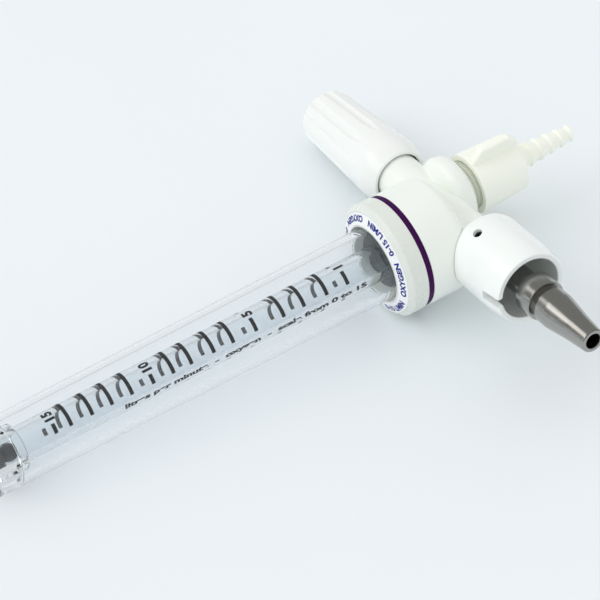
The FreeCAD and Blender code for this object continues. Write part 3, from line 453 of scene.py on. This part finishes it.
def gauge_tube():
    end_x, end_r, end_round = 184.6, 11.85, 5.0
    foot_x, foot_r, flange_x, flange_r = 11.2, 10.45, 13.4, 16.6
    bore_end_x, bore_end_r = 172.0, 9.45
    ring_x, ring_outer_r, ring_inner_r = 168.0, 7.9, 6.15
    socket_end_x, hollow_end_x, hollow_r = 179.0, 181.4, 4.6
    bm = spun([
        (end_x, 0.0),
        (end_x, end_r, end_round),
        (flange_x, 12.78, 0.4),
        (flange_x, flange_r),
        (foot_x, flange_r),
        (foot_x, foot_r),
        (bore_end_x, bore_end_r, 0.45),
        (bore_end_x, ring_outer_r),
        (ring_x, ring_outer_r, 0.3),
        (ring_x, ring_inner_r),
        (socket_end_x, ring_inner_r),
        (socket_end_x, hollow_r, 0.3),
        (hollow_end_x, hollow_r, 0.5),
        (hollow_end_x, 0.0),
    ], closed=False)
    tube = bpy.data.meshes.new("tube")
    bm.to_mesh(tube)
    bm.free()
    cutter = bmesh.new()
    slot_width, slot_r, slot_start_x = 2.0, 9.0, 167.0
    for wide, high in ((2.0 * slot_r, slot_width), (slot_width, 2.0 * slot_r)):
        bar = bmesh.ops.create_cube(cutter, size=1.0)["verts"]
        bmesh.ops.scale(cutter, vec=(hollow_end_x - slot_start_x, wide, high), verts=bar)
        bmesh.ops.translate(cutter, vec=((slot_start_x + hollow_end_x) / 2.0, 0.0, 0.0), verts=bar)
    bars = bpy.data.meshes.new("bars")
    cutter.to_mesh(bars)
    cutter.free()
    uncut, slots = bpy.data.objects.new("uncut", tube), bpy.data.objects.new("slots", bars)
    bpy.context.scene.collection.objects.link(uncut)
    bpy.context.scene.collection.objects.link(slots)
    cut = uncut.modifiers.new("slots", "BOOLEAN")
    cut.object = slots
    cut.solver = "EXACT"
    cut.use_self = True
    bpy.context.view_layer.update()
    slotted = bpy.data.meshes.new_from_object(uncut.evaluated_get(bpy.context.evaluated_depsgraph_get()))
    bm = bmesh.new()
    bm.from_mesh(slotted)
    for leftover in (uncut, slots):
        bpy.data.objects.remove(leftover)
    for leftover in (tube, bars, slotted):
        bpy.data.meshes.remove(leftover)
    outer_clear = clear("outer_clear", (0.985, 0.993, 1.0), 0.0, (0.975, 0.98, 0.985))
    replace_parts(laid_piece("gauge_tube", bm, outer_clear, "housing"), "outer_tube")


gauge_tube()


# The metering tube inside it is drawn from clear stock with a faint blue cast. Its bore widens slowly
# away from the body.
def metering_tube():
    foot_x, end_x, outer_r = 22.0, 179.0, 6.1
    foot_bore_r, end_bore_r = 3.35, 4.25
    bm = spun([
        (foot_x, foot_bore_r),
        (foot_x, outer_r, 0.4),
        (end_x, outer_r, 0.4),
        (end_x, end_bore_r),
    ])
    metering_clear = clear("metering_clear", (0.93, 0.955, 0.975), 0.0, (0.955, 0.965, 0.975))
    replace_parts(laid_piece("metering_tube", bm, metering_clear, "housing"), "flow_tube")


metering_tube()


# The scale is printed in black round the metering tube: a bar for each litre a minute, and a figure
# with shorter bars each side of it at 1, 5, 10 and 15. A line of small plain words runs below them.
def scale_print():
    tube_r = 6.1
    ink_foot, ink_top = tube_r + 0.01, tube_r + 0.03
    bar_width, figure_drop = 1.35, 1.6
    near_side, far_side = 24.0, 240.0
    marks = {1: 45.6, 2: 53.7, 3: 62.5, 4: 70.3, 5: 80.9, 6: 89.7, 7: 97.1, 8: 105.6, 9: 112.4, 10: 119.9,
             11: 128.0, 12: 135.5, 13: 142.9, 14: 150.7, 15: 156.2}
    black = ink("scale_black", (0.003, 0.003, 0.004))

    def bar(bm, place, start, end):
        """One curved bar of ink."""
        corners = []
        for across, radius in ((-0.5, ink_foot), (0.5, ink_foot), (0.5, ink_top), (-0.5, ink_top)):
            corners.append(bm.verts.new((place + across * bar_width, radius, 0.0)))
        face = bm.faces.new(corners)
        turn = Matrix.Rotation(math.radians(start), 4, "X")
        bmesh.ops.transform(bm, matrix=turn, verts=corners)
        bmesh.ops.spin(bm, geom=[face], cent=(0.0, 0.0, 0.0), axis=(1.0, 0.0, 0.0),
                       angle=math.radians(end - start), steps=max(8, int((end - start) / 4.0)))

    bars = bmesh.new()
    figures = bmesh.new()
    for litres, place in marks.items():
        if litres in (1, 5, 10, 15):
            tick_end, middle = (54.0, 80.0) if litres > 9 else (68.0, 86.0)
            bar(bars, place, near_side, tick_end)
            bar(bars, place, 208.0, far_side)
            bm = lettering(str(litres), 4.6, 0.05)
            for vert in bm.verts:
                angle = math.radians(middle) + vert.co.x / tube_r
                vert.co = Vector((place - figure_drop + vert.co.y,
                                  ink_top * math.cos(angle), ink_top * math.sin(angle)))
            flat = bpy.data.meshes.new("figure")
            bm.to_mesh(flat)
            bm.free()
            figures.from_mesh(flat)
            bpy.data.meshes.remove(flat)
        else:
            bar(bars, place, near_side, far_side)
    bmesh.ops.recalc_face_normals(bars, faces=bars.faces)
    laid_piece("scale_bars", bars, black, "housing")

    line_start, line_end, line_foot = 131.5, 39.0, -12.0
    bm = lettering("litres per minute  -  oxygen  -  scale from 0 to 15", 2.5, 0.045)
    half = max(vert.co.x for vert in bm.verts)
    for vert in bm.verts:
        along = (line_start + line_end) / 2.0 - vert.co.x / half * (line_start - line_end) / 2.0
        angle = math.radians(line_foot) + vert.co.y / tube_r
        vert.co = Vector((along, ink_top * math.cos(angle), ink_top * math.sin(angle)))
    flat = bpy.data.meshes.new("line")
    bm.to_mesh(flat)
    bm.free()
    figures.from_mesh(flat)
    bpy.data.meshes.remove(flat)
    laid_piece("scale_figures", figures, black, "housing")


scale_print()


# The ball and its two stops are black moulded plastic. The seals are black rubber, and the one at the
# metering tube's foot is grey.
black_moulded = moulded("black_moulded", (0.006, 0.006, 0.007), (0.004, 0.004, 0.005), 0.45, 0.3)
dress("float_ball", black_moulded)
dress("upper_ball_stop", black_moulded)
dress("lower_ball_stop", black_moulded)
seal_rubber = moulded("seal_rubber", (0.02, 0.02, 0.021), (0.014, 0.014, 0.015), 0.6, 0.6)
for seal in ("outer_tube_seal", "bonnet_seal", "probe_seal", "nipple_seal"):
    dress(seal, seal_rubber)
dress("flow_tube_seal", moulded("grey_rubber", (0.26, 0.28, 0.29), (0.22, 0.24, 0.25), 0.6, 0.4))


# The lobed seat nut is a dull blue-grey moulding. Its front, with the socket for the metering tube, is
# painted nearly black as painted shade.
def seat_nut_grey():
    plastic = moulded("seat_nut_grey", (0.25, 0.29, 0.305), (0.22, 0.26, 0.275), 0.5, 0.5)
    nodes, links = plastic.node_tree.nodes, plastic.node_tree.links
    shader = nodes["Principled BSDF"]
    sides = shader.inputs["Base Color"].links[0].from_socket
    surface = nodes.new("ShaderNodeNewGeometry")
    facing = nodes.new("ShaderNodeVectorMath")
    facing.operation = "DOT_PRODUCT"
    facing.inputs[1].default_value = tube_way
    # Painted shade: faces turned towards the tube's closed end are darkened nearly to black.
    painted_front_shade = nodes.new("ShaderNodeMapRange")
    painted_front_shade.inputs["From Min"].default_value = 0.45
    painted_front_shade.inputs["From Max"].default_value = 0.6
    tint = nodes.new("ShaderNodeMix")
    tint.data_type = "RGBA"
    tint.inputs["B"].default_value = (0.045, 0.055, 0.06, 1.0)
    links.new(surface.outputs["True Normal"], facing.inputs[0])
    links.new(facing.outputs["Value"], painted_front_shade.inputs["Value"])
    links.new(painted_front_shade.outputs["Result"], tint.inputs["Factor"])
    links.new(sides, tint.inputs["A"])
    links.new(tint.outputs["Result"], shader.inputs["Base Color"])
    return plastic


dress("tube_seat_nut", seat_nut_grey())


# The valve parts are turned brass, and the probe and the screws are stainless steel with the fine
# rings of the lathe.
def turned_metal(name, colour, roughness, ring_depth, axis):
    """Machined metal with faint rings square to the axis that it was turned on."""
    metal = bpy.data.materials.new(name)
    metal.use_nodes = True
    nodes, links = metal.node_tree.nodes, metal.node_tree.links
    shader = nodes["Principled BSDF"]
    shader.inputs["Base Color"].default_value = (*colour, 1.0)
    shader.inputs["Metallic"].default_value = 1.0
    coords = nodes.new("ShaderNodeTexCoord")
    along = nodes.new("ShaderNodeVectorMath")
    along.operation = "DOT_PRODUCT"
    along.inputs[1].default_value = axis
    rings = nodes.new("ShaderNodeTexNoise")
    rings.noise_dimensions = "1D"
    rings.inputs["Scale"].default_value = 6000.0
    rings.inputs["Detail"].default_value = 3.0
    stain = nodes.new("ShaderNodeTexNoise")
    stain.inputs["Scale"].default_value = 220.0
    stain.inputs["Detail"].default_value = 5.0
    gloss = nodes.new("ShaderNodeMapRange")
    gloss.inputs["From Min"].default_value = 0.3
    gloss.inputs["From Max"].default_value = 0.75
    gloss.inputs["To Min"].default_value = roughness
    gloss.inputs["To Max"].default_value = roughness + 0.14
    bump = nodes.new("ShaderNodeBump")
    bump.inputs["Strength"].default_value = ring_depth
    bump.inputs["Distance"].default_value = 0.00003
    links.new(coords.outputs["Object"], along.inputs[0])
    links.new(along.outputs["Value"], rings.inputs["W"])
    links.new(coords.outputs["Object"], stain.inputs["Vector"])
    links.new(stain.outputs["Fac"], gloss.inputs["Value"])
    links.new(gloss.outputs["Result"], shader.inputs["Roughness"])
    links.new(rings.outputs["Fac"], bump.inputs["Height"])
    links.new(bump.outputs["Normal"], shader.inputs["Normal"])
    return metal


brass = turned_metal("turned_brass", (0.72, 0.55, 0.27), 0.2, 0.3, barrel_way)
for piece in ("valve_bonnet", "valve_needle", "valve_spindle", "gland_nut"):
    dress(piece, brass)
dress("spindle_seal", moulded("packing_white", (0.82, 0.82, 0.79), (0.78, 0.78, 0.75), 0.6, 0.4))


# The control knob is bright white glossy plastic, moulded with ten flutes and pressed onto the
# spindle. A cap closes its end over the screw.
knob_white = moulded("knob_white", (0.87, 0.89, 0.87), (0.86, 0.88, 0.86), 0.24, 0.15)
dress("control_knob", knob_white)
dress("knob_cap", knob_white)
steel = turned_metal("polished_steel", (0.38, 0.375, 0.355), 0.15, 0.2, barrel_way)
dress("knob_screw", steel)


# The wall probe is turned from stainless steel and polished: a flange, a locking groove behind the
# nose and a long taper to the tip.
def wall_probe():
    shank_y, shoulder_y, shoulder_end_y = 12.0, 25.0, 28.0
    flange_y, groove_y, nose_y, taper_y, waist_y, tip_y = 45.0, 52.2, 54.6, 59.0, 69.0, 78.0
    shank_r, shoulder_r, flange_r, groove_r = 4.6, 7.5, 7.06, 5.2
    nose_r, waist_r, tip_r = 6.4, 5.0, 4.15
    filter_end_y, filter_r, bore_end_y, bore_r, mouth_r = 17.5, 3.85, 62.0, 3.5, 2.7
    bm = spun([
        (shank_y, filter_r),
        (shank_y, shank_r),
        (shoulder_y, shank_r),
        (shoulder_y, shoulder_r),
        (shoulder_end_y, shoulder_r, 0.25),
        (shoulder_end_y, shank_r),
        (flange_y, shank_r),
        (flange_y, flange_r, 0.3),
        (groove_y, flange_r, 0.3),
        (groove_y, groove_r),
        (nose_y, groove_r),
        (nose_y, nose_r, 0.25),
        (taper_y, nose_r, 3.0),
        (waist_y, waist_r, 20.0),
        (tip_y, tip_r, 0.6),
        (tip_y, mouth_r, 0.3),
        (bore_end_y, mouth_r),
        (bore_end_y, bore_r),
        (filter_end_y, bore_r),
        (filter_end_y, filter_r),
    ])
    bmesh.ops.rotate(bm, verts=bm.verts, cent=(0.0, 0.0, 0.0), matrix=Matrix.Rotation(math.pi / 2.0, 3, "Z"))
    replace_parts(laid_piece("wall_probe", bm, steel, "housing"), "probe")


wall_probe()


# The white shroud round the probe is a glossy moulding, held on the barrel by one set screw.
dress("inlet_filter", turned_metal("sintered_bronze", (0.42, 0.29, 0.16), 0.6, 0.5, barrel_way))
dress("shroud", moulded("shroud_white", (0.885, 0.92, 0.90), (0.875, 0.91, 0.89), 0.22, 0.15))
# Painted shade: the set screw is coloured near-black so that its hole reads dark.
dress("shroud_screw", turned_metal("dark_steel", (0.035, 0.035, 0.035), 0.4, 0.2, upper_way))


# The outlet's thread runs the length of the spigot. Its ridge is swept round the outlet's axis, one
# pitch each turn, and rises from the spigot's wall.
def outlet_thread():
    outlet_y = -13.7
    root_r, crest_r = 7.8, 8.4
    pitch = 1.337
    first_x, last_x = -12.4, -26.2
    turns = (first_x - last_x) / pitch
    steps_a_turn = 48
    root_half, crest_half = 0.42, 0.13
    bm = bmesh.new()
    ridge = []
    profile = ((-root_half, root_r), (-crest_half, crest_r), (crest_half, crest_r), (root_half, root_r))
    for along, radius in profile:
        ridge.append(bm.verts.new((first_x + along * pitch, radius, 0.0)))
    face = bm.faces.new(ridge)
    bmesh.ops.spin(bm, geom=[face], cent=(0.0, 0.0, 0.0), axis=(-1.0, 0.0, 0.0),
                   dvec=(-pitch / steps_a_turn, 0.0, 0.0), angle=2.0 * math.pi * turns,
                   steps=int(turns * steps_a_turn))
    bmesh.ops.recalc_face_normals(bm, faces=bm.faces)
    bmesh.ops.translate(bm, verts=bm.verts, vec=(0.0, outlet_y, 0.0))
    # Painted shade: the thread is the body's plastic, coloured much darker as the shade between the boss and
    # the nut.
    thread_shaded = moulded("thread_shaded", (0.58, 0.60, 0.49), (0.54, 0.56, 0.45), 0.4, 0.3)
    laid_piece("outlet_thread", bm, thread_shaded, "housing", 60.0)


outlet_thread()


# The wing nut and the hose nipple are ivory plastic, a warmer white than the body's.
ivory = moulded("ivory", (0.94, 0.96, 0.865), (0.93, 0.95, 0.85), 0.3, 0.3)
dress("wing_nut", ivory)
dress("hose_nipple", ivory)
